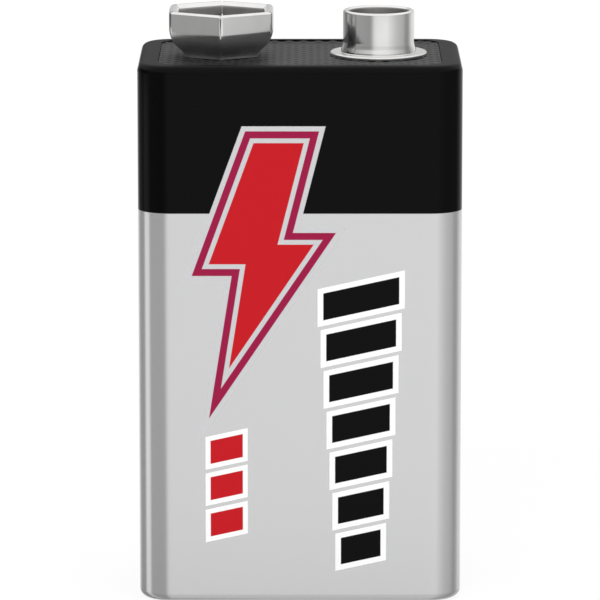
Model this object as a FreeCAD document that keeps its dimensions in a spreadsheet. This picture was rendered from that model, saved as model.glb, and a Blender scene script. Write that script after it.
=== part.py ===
import FreeCAD, Part
import math
import os

import Sketcher
from FreeCAD import Placement, Rotation, Vector

# Nine volt battery with snap terminals, in millimetres.
# The origin is the bottom centre of the jacket. X runs left to right, Y runs from the front face to
# the back face and Z runs up. The socket terminal is on the left, the stud terminal on the right.

# Driving dimensions: name, size, what it is
SIZES = [
    ("case_width", 26.0, "jacket, outside, left to right"),
    ("case_depth", 16.65, "jacket, outside, front to back"),
    ("case_height", 43.72, "jacket, bottom lip to top lip"),
    ("case_corner", 2.6, "outside radius of the upright corners"),
    ("case_sheet", 0.25, "jacket sheet thickness"),
    ("fold_radius", 0.65, "outside radius of the folded lips"),
    ("lip_side", 1.65, "lip width on the narrow sides"),
    ("lip_front", 1.175, "lip width on the wide sides"),
    ("lip_corner", 1.8, "corner radius of the lip opening"),
    ("lap_edge", 1.6, "the seam's outer edge, behind the middle of the right side"),
    ("lap_width", 3.2, "hidden overlap of the sheet behind that edge"),
    ("lap_ramp", 0.5, "width of the step where the sheet goes under"),
    ("lap_step", 0.12, "depth of that step outside, pressed nearly flush"),
    ("plate_fit", 0.1, "clearance of plates, cards and seam in the jacket"),
    ("panel_fit", 0.1, "clearance of the raised panels in the lip openings"),
    ("top_panel_rise", 0.08, "textured panel above the underside of the top lip"),
    ("top_panel_thick", 1.2, "top plate below the lip"),
    ("top_skirt_wall", 0.9, "wall of the skirt under the top plate"),
    ("top_skirt", 1.32, "height of that skirt, the room for the leads and rivets"),
    ("bottom_plate_thick", 0.8, "bottom plate above the lip"),
    ("bottom_panel_drop", 0.15, "bottom panel inside the lip opening"),
    ("card_thick", 0.3, "insulating cards"),
    ("window_fit", 0.5, "room for a lead in the top card's window"),
    ("cell_gap", 0.05, "least gap between two cells"),
    ("cell_fit", 0.05, "clearance of the cells in the liner, front and back"),
    ("cell_side_fit", 0.2, "clearance of the cells in the liner, left and right"),
    ("button_radius", 1.9, "positive button"),
    ("button_height", 0.7, "positive button"),
    ("liner_fit", 0.1, "clearance of the liner in the jacket"),
    ("liner_thick", 0.1, "paper liner"),
    ("strap_thick", 0.2, "joining straps and leads"),
    ("strap_width", 4.0, "joining straps"),
    ("lead_edge", 1.475, "from the rivet's axis to the lead's near edge"),
    ("lead_overhang", 1.9, "lead past the rivet, away from its fold"),
    ("lead_fold", 2.3, "from the rivet's axis to the lead's fold"),
    ("lead_foot", 2.8, "length of the lead's foot on its cell"),
    ("lead_bend", 0.15, "inside radius of the lead's folds"),
    ("terminal_inset", 6.65, "side of the jacket to a terminal's axis, which puts them 12.7 apart"),
    ("terminal_sheet", 0.25, "terminal sheet thickness"),
    ("stud_radius", 2.88, "outside of the stud"),
    ("stud_height", 3.65, "stud above the panel"),
    ("stud_wall", 0.48, "folded double wall of the stud"),
    ("stud_rim_bevel", 0.1, "bevel of the folded rim, outside"),
    ("stud_foot", 0.2, "splay between the wall and the flange"),
    ("flange_radius", 3.915, "stud flange"),
    ("socket_flat", 4.22, "socket axis to the outside of a petal"),
    ("socket_base_flat", 3.02, "socket axis to a side of its base"),
    ("socket_height", 3.75, "socket above the panel"),
    ("socket_shoulder", 1.5, "height where the lines of the bowl and a petal meet"),
    ("bowl_round", 1.75, "radius of that bend, outside"),
    ("socket_corner", 0.45, "rounding of the bowl's six corners"),
    ("petal_rim_width", 0.8, "folded rim of a petal"),
    ("petal_rim_round", 0.38, "outside rounding of the folded rim"),
    ("petal_lip", 1.0, "inner leaf of a petal, below the rim"),
    ("slit_width", 0.15, "slit between two petals"),
    ("slit_bottom", 1.85, "bottom of the slits above the panel"),
    ("rivet_radius", 1.0, "rivet shank"),
    ("rivet_fit", 0.05, "clearance of a rivet in its holes"),
    ("rivet_head_radius", 1.7, "rivet head inside the terminal"),
    ("rivet_head_height", 0.45, "rivet head inside the terminal"),
    ("rivet_upset_radius", 1.8, "closed end of the rivet under the lead"),
    ("rivet_upset_height", 0.4, "closed end of the rivet under the lead"),
]

# Levels above the floor and half sizes, as expressions on the sheet
HALF_WIDTH = "dims.case_width / 2"
HALF_DEPTH = "dims.case_depth / 2"
LIP_UNDERSIDE = "(dims.case_height - dims.case_sheet)"
PANEL_TOP = f"({LIP_UNDERSIDE} + dims.top_panel_rise)"
PANEL_UNDERSIDE = f"({LIP_UNDERSIDE} - dims.top_panel_thick)"
SKIRT_END = f"({PANEL_UNDERSIDE} - dims.top_skirt)"
TOP_CARD = f"({SKIRT_END} - dims.card_thick)"
TOP_STRAPS = f"({TOP_CARD} - dims.strap_thick)"
BOTTOM_CARD = "(dims.case_sheet + dims.bottom_plate_thick)"
BOTTOM_STRAPS = f"({BOTTOM_CARD} + dims.card_thick)"
CELLS = f"({BOTTOM_STRAPS} + dims.strap_thick)"
CELL_HEIGHT = f"({TOP_STRAPS} - {CELLS})"

# Across: the liner's inside, and the cells, which fill it in two rows and three columns
LINER_SIDE = f"({HALF_WIDTH} - 2 * dims.case_sheet - dims.liner_fit)"
LINER_FRONT = f"({HALF_DEPTH} - dims.case_sheet - dims.liner_fit)"
ROW_ROOM = f"({LINER_FRONT} - dims.liner_thick - dims.cell_fit - dims.cell_gap / 2) / 2"
COLUMN_ROOM = f"({LINER_SIDE} - dims.liner_thick - dims.cell_side_fit - dims.cell_gap) / 3"
CELL_RADIUS = f"min({ROW_ROOM}; {COLUMN_ROOM})"
ROW_PLACE = f"({CELL_RADIUS} + dims.cell_gap / 2)"
COLUMN_PLACE = f"({LINER_SIDE} - dims.liner_thick - dims.cell_side_fit - {CELL_RADIUS})"
TERMINAL_PLACE = f"({HALF_WIDTH} - dims.terminal_inset)"

# A lead reaches from its rivet to the middle of its cell
LEAD_SHIFT = f"({COLUMN_PLACE} - {TERMINAL_PLACE}) / 2"
HALF_LEAD = f"(abs({LEAD_SHIFT}) + dims.lead_edge)"

# The bevel inside a fold leaves the sheet its thickness in the middle of the bend
INNER_FOLD = "(dims.fold_radius - dims.case_sheet) * (2 - sqrt(2))"

# A corner edge of the bowl is an outer one where it lies within this share of the sheet from the outside
OUTER_SHARE = 0.7

# The six cells stand in two rows of three, and every second one is upside down.
# Each entry is the column, the row and whether the positive button is up.
CELL_PLACES = [(1, -1, True), (1, 1, False), (0, 1, True), (0, -1, False), (-1, -1, True), (-1, 1, False)]


def make_sheet(doc):
    sheet = doc.addObject("Spreadsheet::Sheet", "dims")
    for row, (alias, size, note) in enumerate(SIZES, start=1):
        sheet.set(f"A{row}", alias)
        sheet.set(f"B{row}", str(size))
        sheet.set(f"C{row}", note)
        sheet.setAlias(f"B{row}", alias)
    doc.recompute()


def value(owner, text):
    """The number that an expression on the sheet gives."""
    return float(owner.evalExpression(text))


def new_body(doc, name, across="0", along="0", up="0", turn=None):
    """A body whose place follows the sheet; turn is an axis for half a turn."""
    body = doc.addObject("PartDesign::Body", name)
    body.Label = name
    if turn is not None:
        body.Placement = Placement(Vector(0, 0, 0), Rotation(turn, 180))
    for axis, text in zip("xyz", (across, along, up)):
        body.setExpression(f"Placement.Base.{axis}", text)
    return body


def new_sketch(body, name, role, lift):
    sketch = body.newObject("Sketcher::SketchObject", name)
    plane = [item for item in body.Origin.OriginFeatures if item.Role == role][0]
    sketch.AttachmentSupport = (plane, [""])
    sketch.MapMode = "FlatFace"
    if lift is not None:
        sketch.setExpression("AttachmentOffset.Base.z", lift)
    return sketch


def hold_point(sketch, shape, end, across, up):
    """Ties a point of the sketch to two expressions, or to an axis where one is zero."""
    for kind, axis, text in (("DistanceX", -2, across), ("DistanceY", -1, up)):
        if text == "0":
            sketch.addConstraint(Sketcher.Constraint("PointOnObject", shape, end, axis))
            continue
        size = value(sketch, text)
        index = sketch.addConstraint(Sketcher.Constraint(kind, -1, 1, shape, end, size))
        sketch.setExpression(f"Constraints[{index}]", text)


def circle(body, name, radius, lift=None, across="0", along="0"):
    sketch = new_sketch(body, name, "XY_Plane", lift)
    centre = Vector(value(sketch, across), value(sketch, along), 0)
    shape = sketch.addGeometry(Part.Circle(centre, Vector(0, 0, 1), value(sketch, radius)), False)
    hold_point(sketch, shape, 3, across, along)
    index = sketch.addConstraint(Sketcher.Constraint("Radius", shape, value(sketch, radius)))
    sketch.setExpression(f"Constraints[{index}]", radius)
    return sketch


def corner_arc(before, corner, after, radius):
    """The arc that rounds a corner: its two ends, the arc and whether it turns left."""
    back = (before - corner).normalize()
    ahead = (after - corner).normalize()
    half_angle = back.getAngle(ahead) / 2
    trim = radius / math.tan(half_angle)
    centre = corner + (back + ahead).normalize() * (radius / math.sin(half_angle))
    first, last = corner + back * trim, corner + ahead * trim
    left = (corner - before).cross(after - corner).z > 0
    start, stop = (first, last) if left else (last, first)
    low = math.atan2(start.y - centre.y, start.x - centre.x)
    high = math.atan2(stop.y - centre.y, stop.x - centre.x)
    if high < low:
        high += 2 * math.pi
    arc = Part.ArcOfCircle(Part.Circle(centre, Vector(0, 0, 1), radius), low, high)
    return first, last, arc, left


def outline(body, name, role, corners, lift=None):
    """A closed outline of straight sides. Each corner is across, up and an optional rounding."""
    sketch = new_sketch(body, name, role, lift)
    spots = [Vector(value(sketch, corner[0]), value(sketch, corner[1]), 0) for corner in corners]
    count = len(corners)
    arcs = {}
    arrive, leave = list(spots), list(spots)
    for at, corner in enumerate(corners):
        if len(corner) == 3:
            arcs[at] = corner_arc(spots[at - 1], spots[at], spots[(at + 1) % count], value(sketch, corner[2]))
            arrive[at], leave[at] = arcs[at][0], arcs[at][1]
    for at in range(count):
        sketch.addGeometry(Part.LineSegment(leave[at], arrive[(at + 1) % count]), False)
    for at, corner in enumerate(corners):
        side_in, side_out = (at - 1) % count, at
        if at not in arcs:
            sketch.addConstraint(Sketcher.Constraint("Coincident", side_in, 2, side_out, 1))
            hold_point(sketch, side_out, 1, corner[0], corner[1])
            continue
        arc = sketch.addGeometry(arcs[at][2], False)
        end_in, end_out = (1, 2) if arcs[at][3] else (2, 1)
        sketch.addConstraint(Sketcher.Constraint("Tangent", side_in, 2, arc, end_in))
        sketch.addConstraint(Sketcher.Constraint("Tangent", arc, end_out, side_out, 1))
        index = sketch.addConstraint(Sketcher.Constraint("Radius", arc, value(sketch, corner[2])))
        sketch.setExpression(f"Constraints[{index}]", corner[2])
        mark = sketch.addGeometry(Part.Point(spots[at]), True)
        sketch.addConstraint(Sketcher.Constraint("PointOnObject", mark, 1, side_in))
        sketch.addConstraint(Sketcher.Constraint("PointOnObject", mark, 1, side_out))
        hold_point(sketch, mark, 1, corner[0], corner[1])
    return sketch


def rectangle(body, name, half_across, half_along, rounding=None, lift=None, across="0", along="0"):
    """A rectangle about a centre, with square corners where no rounding is given."""
    signs = ((-1, -1), (1, -1), (1, 1), (-1, 1))
    corners = [(f"{across} + {x} * ({half_across})", f"{along} + {y} * ({half_along})") for x, y in signs]
    if rounding is not None:
        corners = [(*corner, rounding) for corner in corners]
    return outline(body, name, "XY_Plane", corners, lift)


def pad(body, name, sketch, length, down=False, both_ways=False):
    feature = body.newObject("PartDesign::Pad", name)
    feature.Profile = sketch
    feature.setExpression("Length", length)
    feature.Reversed = down
    if both_ways:
        feature.SideType = "Symmetric"
    return feature


def pocket(body, name, sketch, length=None):
    """A pocket upwards from its sketch, right through where no length is given."""
    body.Document.recompute()
    before = body.Shape.Volume
    feature = body.newObject("PartDesign::Pocket", name)
    feature.Profile = sketch
    feature.Reversed = True
    if length is None:
        feature.Type = "ThroughAll"
    else:
        feature.setExpression("Length", length)
    body.Document.recompute()
    if feature.Shape.Volume >= before:
        raise RuntimeError(f"{name} of {body.Label} cuts nothing")
    return feature


def revolve(body, name, sketch):
    feature = body.newObject("PartDesign::Revolution", name)
    feature.Profile = sketch
    feature.ReferenceAxis = (sketch, ["V_Axis"])
    feature.Angle = 360
    return feature


def round_edges(body, name, base, radius, wanted):
    """Rounds those edges of the base feature that the test wants."""
    body.Document.recompute()
    names = [f"Edge{index}" for index, edge in enumerate(base.Shape.Edges, start=1) if wanted(edge)]
    feature = body.newObject("PartDesign::Fillet", name)
    feature.Base = (base, names)
    feature.setExpression("Radius", radius)
    return feature


def bevel_edges(body, name, base, size, wanted):
    """Bevels those edges of the base feature that the test wants."""
    body.Document.recompute()
    names = [f"Edge{index}" for index, edge in enumerate(base.Shape.Edges, start=1) if wanted(edge)]
    feature = body.newObject("PartDesign::Chamfer", name)
    feature.Base = (base, names)
    feature.setExpression("Size", size)
    return feature


def level_at(*heights):
    """A test for edges that lie flat at one of some heights."""

    def wanted(edge):
        box = edge.BoundBox
        return box.ZLength < 1e-6 and any(abs(box.ZMin - height) < 1e-6 for height in heights)

    return wanted


def jacket_half(inset):
    """Half sizes and corner radius of the jacket's outline, inset from the outside."""
    return (
        f"{HALF_WIDTH} - ({inset})",
        f"{HALF_DEPTH} - ({inset})",
        f"dims.case_corner - ({inset})",
    )


def lip_half(inset):
    """Half sizes and corner radius of the opening inside a lip, inset by a clearance."""
    return (
        f"{HALF_WIDTH} - dims.lip_side - ({inset})",
        f"{HALF_DEPTH} - dims.lip_front - ({inset})",
        f"dims.lip_corner - ({inset})",
    )


def jacket(doc):
    """One sheet bent round the four sides, lapped on the right side and folded in at both ends."""
    body = new_body(doc, "jacket")
    outside = rectangle(body, "case_outline", *jacket_half("0"))
    block = pad(body, "case_block", outside, "dims.case_height")
    doc.recompute()
    height = value(body, "dims.case_height")
    sheet = value(body, "dims.case_sheet")
    round_edges(body, "lip_folds", block, "dims.fold_radius", level_at(0, height))
    inside = rectangle(body, "inside_outline", *jacket_half("dims.case_sheet"), lift="dims.case_sheet")
    hollow = pocket(body, "inside", inside, "dims.case_height - 2 * dims.case_sheet")
    bevel_edges(body, "inner_folds", hollow, INNER_FOLD, level_at(sheet, height - sheet))
    doc.recompute()
    pocket(body, "lip_openings", rectangle(body, "lip_outline", *lip_half("0")))

    inner_wall = f"{HALF_WIDTH} - dims.case_sheet"
    under_layer = f"{HALF_WIDTH} - 2 * dims.case_sheet"
    ramp_end = "dims.lap_edge + dims.lap_ramp"
    lap_end = "dims.lap_edge - dims.lap_width"
    overlap = [
        (f"{inner_wall} + dims.case_sheet / 2", lap_end),
        (f"{inner_wall} + dims.case_sheet / 2", ramp_end),
        (inner_wall, ramp_end),
        (under_layer, "dims.lap_edge"),
        (under_layer, lap_end),
    ]
    lap_start = f"{BOTTOM_STRAPS} + dims.plate_fit"
    lap_sketch = outline(body, "lap_outline", "XY_Plane", overlap, lift=lap_start)
    pad(body, "lap", lap_sketch, f"{TOP_CARD} - {BOTTOM_STRAPS} - 2 * dims.plate_fit")
    step = [
        (HALF_WIDTH, "dims.lap_edge"),
        (HALF_WIDTH, ramp_end),
        (f"{HALF_WIDTH} - dims.lap_step", "dims.lap_edge"),
    ]
    step_sketch = outline(body, "step_outline", "XY_Plane", step, lift="dims.fold_radius")
    pocket(body, "step", step_sketch, "dims.case_height - 2 * dims.fold_radius")


def top_plate(doc):
    """Moulded plate under the top lip: a skirt, a panel raised into the lip's opening, rivet holes."""
    body = new_body(doc, "top_plate", up=SKIRT_END)
    height = f"{LIP_UNDERSIDE} - {SKIRT_END}"
    inset = "dims.case_sheet + dims.plate_fit"
    block = pad(body, "plate_block", rectangle(body, "plate_outline", *jacket_half(inset)), height)
    bevel_edges(body, "plate_edge", block, INNER_FOLD, level_at(value(body, height)))
    doc.recompute()
    skirt_inset = f"{inset} + dims.top_skirt_wall"
    skirt = rectangle(body, "skirt_outline", *jacket_half(skirt_inset))
    pocket(body, "skirt_inside", skirt, f"{height} - dims.top_panel_thick")
    panel = rectangle(body, "panel_outline", *lip_half("dims.panel_fit"), lift=height)
    pad(body, "panel", panel, "dims.top_panel_rise")
    for side, name in ((-1, "socket_hole"), (1, "stud_hole")):
        place = f"{side} * {TERMINAL_PLACE}"
        hole = circle(body, f"{name}_circle", "dims.rivet_radius + dims.rivet_fit", across=place)
        pocket(body, name, hole)


def bottom_plate(doc):
    """Moulded plate on the bottom lip, with a panel let into the lip's opening."""
    body = new_body(doc, "bottom_plate", up="dims.case_sheet")
    outside = rectangle(body, "plate_outline", *jacket_half("dims.case_sheet + dims.plate_fit"))
    block = pad(body, "plate_block", outside, "dims.bottom_plate_thick")
    bevel_edges(body, "plate_edge", block, INNER_FOLD, level_at(0))
    doc.recompute()
    panel = rectangle(body, "panel_outline", *lip_half("dims.panel_fit"))
    pad(body, "panel", panel, "dims.bottom_panel_drop", down=True)


def card(doc, name, level):
    """Insulating card as wide as the inside of the jacket."""
    body = new_body(doc, name, up=level)
    outside = rectangle(body, "card_outline", *jacket_half("dims.case_sheet + dims.plate_fit"))
    pad(body, "sheet", outside, "dims.card_thick")
    return body


def top_card(doc):
    """Insulating card with a window for each lead."""
    body = card(doc, "top_card", TOP_CARD)
    middle = "(dims.lead_fold + dims.strap_thick / 2)"
    for side in (-1, 1):
        window = rectangle(
            body,
            f"window_outline_{side + 2}",
            f"{HALF_LEAD} + dims.window_fit / 2",
            "dims.strap_thick / 2 + dims.window_fit",
            across=f"{side} * ({TERMINAL_PLACE} + {LEAD_SHIFT})",
            along=f"{-side} * {middle}",
        )
        pocket(body, f"window_{side + 2}", window)


def cell(doc, number, column, row, button_up):
    """Round cell in its shrunk sleeve, with a positive button at one end."""
    across, along = f"{column} * {COLUMN_PLACE}", f"{row} * {ROW_PLACE}"
    if button_up:
        body = new_body(doc, f"cell_{number}", across, along, CELLS)
    else:
        body = new_body(doc, f"cell_{number}", across, along, TOP_STRAPS, turn=Vector(1, 0, 0))
    shoulder = f"{CELL_HEIGHT} - dims.button_height"
    profile = [
        ("0", "0"),
        (CELL_RADIUS, "0"),
        (CELL_RADIUS, shoulder),
        ("dims.button_radius", shoulder),
        ("dims.button_radius", CELL_HEIGHT),
        ("0", CELL_HEIGHT),
    ]
    revolve(body, "can", outline(body, "can_profile", "XZ_Plane", profile))


def liner(doc):
    """Paper tube between the cells and the jacket, between the two cards."""
    body = new_body(doc, "liner", up=BOTTOM_STRAPS)
    corner = "dims.case_corner - dims.case_sheet - dims.liner_fit"
    length = f"{TOP_CARD} - {BOTTOM_STRAPS}"
    pad(body, "tube", rectangle(body, "outside_outline", LINER_SIDE, LINER_FRONT, corner), length)
    inside_half = [f"{size} - dims.liner_thick" for size in (LINER_SIDE, LINER_FRONT, corner)]
    inside = rectangle(body, "inside_outline", *inside_half)
    pocket(body, "tube_inside", inside)


def strap(doc, name, level, across, along, half_across, half_along):
    """Flat strap welded to the ends of two cells."""
    body = new_body(doc, name, across, along, level)
    sketch = rectangle(body, "strip_outline", half_across, half_along)
    pad(body, "strip", sketch, "dims.strap_thick")


def straps(doc):
    """Three straps join each column's pair at the bottom, two join neighbouring columns at the top."""
    narrow = "dims.strap_width / 2"
    for number, column in enumerate((1, 0, -1), start=1):
        across = f"{column} * {COLUMN_PLACE}"
        strap(doc, f"bottom_strap_{number}", BOTTOM_STRAPS, across, "0", narrow, f"{ROW_PLACE} + {narrow}")
    for number, (side, row) in enumerate(((1, 1), (-1, -1)), start=1):
        across = f"{side} * {COLUMN_PLACE} / 2"
        along = f"{row} * {ROW_PLACE}"
        half = f"{COLUMN_PLACE} / 2 + {narrow}"
        strap(doc, f"top_strap_{number}", TOP_STRAPS, across, along, half, narrow)


def lead(doc, name, side):
    """Strip riveted under the top plate and folded down onto the end of its cell."""
    turn = None if side < 0 else Vector(0, 0, 1)
    body = new_body(doc, name, f"{side} * {TERMINAL_PLACE}", "0", TOP_STRAPS, turn=turn)
    top = f"{PANEL_UNDERSIDE} - {TOP_STRAPS}"
    thick = "dims.strap_thick"
    inner, outer = "dims.lead_bend", f"dims.lead_bend + {thick}"
    section = [
        ("-dims.lead_overhang", top),
        ("-dims.lead_overhang", f"{top} - {thick}"),
        ("dims.lead_fold", f"{top} - {thick}", inner),
        ("dims.lead_fold", "0", outer),
        ("dims.lead_fold + dims.lead_foot", "0"),
        ("dims.lead_fold + dims.lead_foot", thick),
        (f"dims.lead_fold + {thick}", thick, inner),
        (f"dims.lead_fold + {thick}", top, outer),
    ]
    strip = outline(body, "strip_section", "YZ_Plane", section, lift=f"-{LEAD_SHIFT}")
    pad(body, "strip", strip, f"2 * {HALF_LEAD}", both_ways=True)
    pocket(body, "rivet_hole", circle(body, "hole_circle", "dims.rivet_radius + dims.rivet_fit"))


def rivet(doc, name, side):
    """Rivet through the terminal's floor, the top plate and the lead."""
    body = new_body(doc, name, f"{side} * {TERMINAL_PLACE}", "0", PANEL_TOP)
    head = "dims.terminal_sheet"
    crown = f"{head} + dims.rivet_head_height"
    grip = f"{PANEL_UNDERSIDE} - dims.strap_thick - {PANEL_TOP}"
    profile = [
        ("0", f"{grip} - dims.rivet_upset_height"),
        ("dims.rivet_upset_radius", f"{grip} - dims.rivet_upset_height"),
        ("dims.rivet_upset_radius", grip),
        ("dims.rivet_radius", grip),
        ("dims.rivet_radius", head),
        ("dims.rivet_head_radius", head),
        ("dims.rivet_head_radius", crown),
        ("0", crown),
    ]
    revolve(body, "shank", outline(body, "rivet_profile", "XZ_Plane", profile))


def stud_terminal(doc):
    """Round stud: a drawn tube folded double, with a flange outside and a riveted floor inside."""
    body = new_body(doc, "stud_terminal", TERMINAL_PLACE, "0", PANEL_TOP)
    sheet, top = "dims.terminal_sheet", "dims.stud_height"
    bore = "dims.stud_radius - dims.stud_wall"
    hole = "dims.rivet_radius + dims.rivet_fit"
    profile = [
        (hole, "0"),
        ("dims.flange_radius", "0"),
        ("dims.flange_radius", sheet),
        ("dims.stud_radius + dims.stud_foot", sheet),
        ("dims.stud_radius", f"{sheet} + dims.stud_foot"),
        ("dims.stud_radius", f"{top} - dims.stud_rim_bevel"),
        ("dims.stud_radius - dims.stud_rim_bevel", top),
        (bore, top),
        (bore, sheet),
        (hole, sheet),
    ]
    revolve(body, "drawn_cup", outline(body, "cup_profile", "XZ_Plane", profile))


def socket_terminal(doc):
    """Hexagonal socket: a bowl on a riveted floor, and six petals with folded rims and slits between."""
    body = new_body(doc, "socket_terminal", f"-{TERMINAL_PLACE}", "0", PANEL_TOP)
    wall, sheet = "dims.socket_flat", "dims.terminal_sheet"
    lean = "atan((dims.socket_flat - dims.socket_base_flat) / dims.socket_shoulder)"
    shoulder_in = f"dims.socket_shoulder + {sheet} * tan({lean} / 2)"
    base_in = f"dims.socket_base_flat - {sheet} * tan((90 deg - {lean}) / 2)"
    bowl_top = f"dims.socket_shoulder + (dims.bowl_round + {sheet}) * tan({lean} / 2)"
    floor_edge = f"{base_in} - 2 * {sheet}"

    bowl_section = [
        (floor_edge, "0"),
        ("dims.socket_base_flat", "0"),
        (wall, "dims.socket_shoulder", "dims.bowl_round"),
        (wall, bowl_top),
        (f"{wall} - {sheet}", bowl_top),
        (f"{wall} - {sheet}", shoulder_in, f"dims.bowl_round - {sheet}"),
        (base_in, sheet),
        (floor_edge, sheet),
    ]
    petal_section = [
        (wall, bowl_top),
        (wall, "dims.socket_height", "dims.petal_rim_round"),
        (f"{wall} - dims.petal_rim_width", "dims.socket_height", "dims.petal_rim_round"),
        (f"{wall} - dims.petal_rim_width", "dims.socket_height - dims.petal_lip"),
        (f"{wall} - dims.petal_rim_width + {sheet}", "dims.socket_height - dims.petal_lip"),
        (
            f"{wall} - dims.petal_rim_width + {sheet}",
            f"dims.socket_height - {sheet}",
            f"dims.petal_rim_round - {sheet}",
        ),
        (f"{wall} - {sheet}", f"dims.socket_height - {sheet}", f"dims.petal_rim_round - {sheet}"),
        (f"{wall} - {sheet}", bowl_top),
    ]
    point = f"{wall} / cos(30)"
    corners = [(f"{point} * cos({angle})", f"{point} * sin({angle})") for angle in range(30, 360, 60)]
    hexagon = outline(body, "hexagon", "XY_Plane", [(wall, "0")] + corners)
    doc.recompute()

    bowl = hexagon_pipe(body, "bowl", outline(body, "bowl_section", "XZ_Plane", bowl_section), hexagon)
    doc.recompute()
    thick = value(body, sheet)
    slope = value(body, f"tan({lean})")
    base_flat, wall_flat = value(body, "dims.socket_base_flat"), value(body, wall)

    def outer_corner(edge):
        """True for the bowl's outer edges along its six corners."""
        middle = edge.valueAt((edge.FirstParameter + edge.LastParameter) / 2)
        turned = math.degrees(math.atan2(middle.y, middle.x)) % 60
        flat = math.hypot(middle.x, middle.y) * math.cos(math.radians(30))
        line = min(wall_flat, base_flat + middle.z * slope)
        upright = edge.BoundBox.ZLength > thick / 4
        return upright and abs(turned - 30) < 0.01 and flat > line - OUTER_SHARE * thick

    round_edges(body, "bowl_corners", bowl, "dims.socket_corner", outer_corner)
    doc.recompute()
    hexagon_pipe(body, "petals", outline(body, "petal_section", "XZ_Plane", petal_section), hexagon)
    doc.recompute()
    pad(body, "floor", circle(body, "floor_circle", f"{floor_edge} + {sheet}"), sheet)
    pocket(body, "rivet_hole", circle(body, "hole_circle", "dims.rivet_radius + dims.rivet_fit"))
    slits(body)


def hexagon_pipe(body, name, section, path):
    """The section swept round the hexagon with mitred corners."""
    feature = body.newObject("PartDesign::AdditivePipe", name)
    feature.Profile = section
    feature.Spine = (path, [])
    feature.Transition = "Right corner"
    return feature


def slits(body):
    """Three cuts right across the socket part its rim into six petals."""
    across, along = "dims.slit_width / 2", "dims.socket_flat * 1.5"
    sketch = outline(
        body,
        "slit_outline",
        "XY_Plane",
        [(f"-{across}", f"-{along}"), (across, f"-{along}"), (across, along), (f"-{across}", along)],
        lift="dims.slit_bottom",
    )
    slit = pocket(body, "slit", sketch, "dims.socket_height")
    pattern = body.newObject("PartDesign::PolarPattern", "slits")
    pattern.Originals = [slit]
    axis = [item for item in body.Origin.OriginFeatures if item.Role == "Z_Axis"][0]
    pattern.Axis = (axis, [""])
    pattern.Angle = 120
    pattern.Occurrences = 3
    body.Tip = pattern


def check_and_write(doc):
    """Every feature must be sound and every sub-part one valid solid; then each is written."""
    for item in doc.Objects:
        if "Invalid" in item.State or "Error" in item.State:
            raise RuntimeError(f"{item.Label} is {item.State}")
    bodies = [item for item in doc.Objects if item.TypeId == "PartDesign::Body"]
    for body in bodies:
        shape = body.Shape
        if shape.isNull() or not shape.isValid() or len(shape.Solids) != 1:
            raise RuntimeError(f"{body.Label} is not one valid solid")
    for body in bodies:
        body.Shape.exportStep(f"parts/{body.Label}.step")
        print(f"{body.Label}: {body.Shape.Volume:.2f} mm3")


def main():
    os.makedirs("parts", exist_ok=True)
    doc = FreeCAD.newDocument("nine_volt_battery")
    make_sheet(doc)
    jacket(doc)
    top_plate(doc)
    bottom_plate(doc)
    card(doc, "bottom_card", BOTTOM_CARD)
    top_card(doc)
    liner(doc)
    for number, (column, row, button_up) in enumerate(CELL_PLACES, start=1):
        cell(doc, number, column, row, button_up)
    straps(doc)
    for name, side in (("negative_lead", -1), ("positive_lead", 1)):
        lead(doc, name, side)
    for name, side in (("socket_rivet", -1), ("stud_rivet", 1)):
        rivet(doc, name, side)
    stud_terminal(doc)
    socket_terminal(doc)
    doc.recompute()
    check_and_write(doc)


main()
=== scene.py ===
# %% [markdown]
# A nine volt battery, dressed for its photograph.
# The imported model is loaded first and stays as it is: it gives every place and size that follows.
# All lengths here are in metres, so MM turns a workshop size into a scene size.

import math

import bmesh
import bpy
from mathutils import Matrix, Vector


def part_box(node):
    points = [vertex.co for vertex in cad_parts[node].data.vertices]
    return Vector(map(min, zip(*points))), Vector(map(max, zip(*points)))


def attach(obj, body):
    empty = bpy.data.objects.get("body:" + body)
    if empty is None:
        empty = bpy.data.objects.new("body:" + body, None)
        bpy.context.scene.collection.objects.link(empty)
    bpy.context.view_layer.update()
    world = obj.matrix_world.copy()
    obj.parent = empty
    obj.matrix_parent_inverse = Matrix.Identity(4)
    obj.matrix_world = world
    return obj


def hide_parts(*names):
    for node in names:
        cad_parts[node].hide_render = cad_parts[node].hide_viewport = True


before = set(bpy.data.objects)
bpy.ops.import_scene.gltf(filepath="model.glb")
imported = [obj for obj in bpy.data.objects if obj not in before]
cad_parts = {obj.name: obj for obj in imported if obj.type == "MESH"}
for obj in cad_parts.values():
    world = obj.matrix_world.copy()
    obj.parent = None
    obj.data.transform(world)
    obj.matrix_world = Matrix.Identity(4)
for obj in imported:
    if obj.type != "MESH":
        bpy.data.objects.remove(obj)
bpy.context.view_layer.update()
MM = 0.001
print("the model holds", len(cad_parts), "pieces")

# %% [markdown]
# The photograph was taken with a long lens from straight in front, a little above the battery and
# looking down at it, so the upright sides hardly converge. The view could be turned by hand until it
# fits, but distance, height and pitch as numbers give the same picture each time.

# %% Camera
CAMERA_DISTANCE = 408.5 * MM
CAMERA_HEIGHT = 102.1 * MM
CAMERA_PITCH = math.radians(10.919)
PHOTO_WIDTH = 600
FOCAL_PIXELS = 5095.7
SENSOR_WIDTH = 36.0

camera_data = bpy.data.cameras.new("photo_camera")
camera_data.sensor_width = SENSOR_WIDTH
camera_data.lens = SENSOR_WIDTH * FOCAL_PIXELS / PHOTO_WIDTH
camera_data.clip_start = 10 * MM
camera = bpy.data.objects.new("photo_camera", camera_data)
camera.location = (0.0, -CAMERA_DISTANCE, CAMERA_HEIGHT)
camera.rotation_euler = (math.pi / 2 - CAMERA_PITCH, 0.0, 0.0)
bpy.context.scene.collection.objects.link(camera)
bpy.context.scene.camera = camera
bpy.context.scene.view_settings.view_transform = "Standard"
print("lens of", round(camera_data.lens), "mm")

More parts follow.
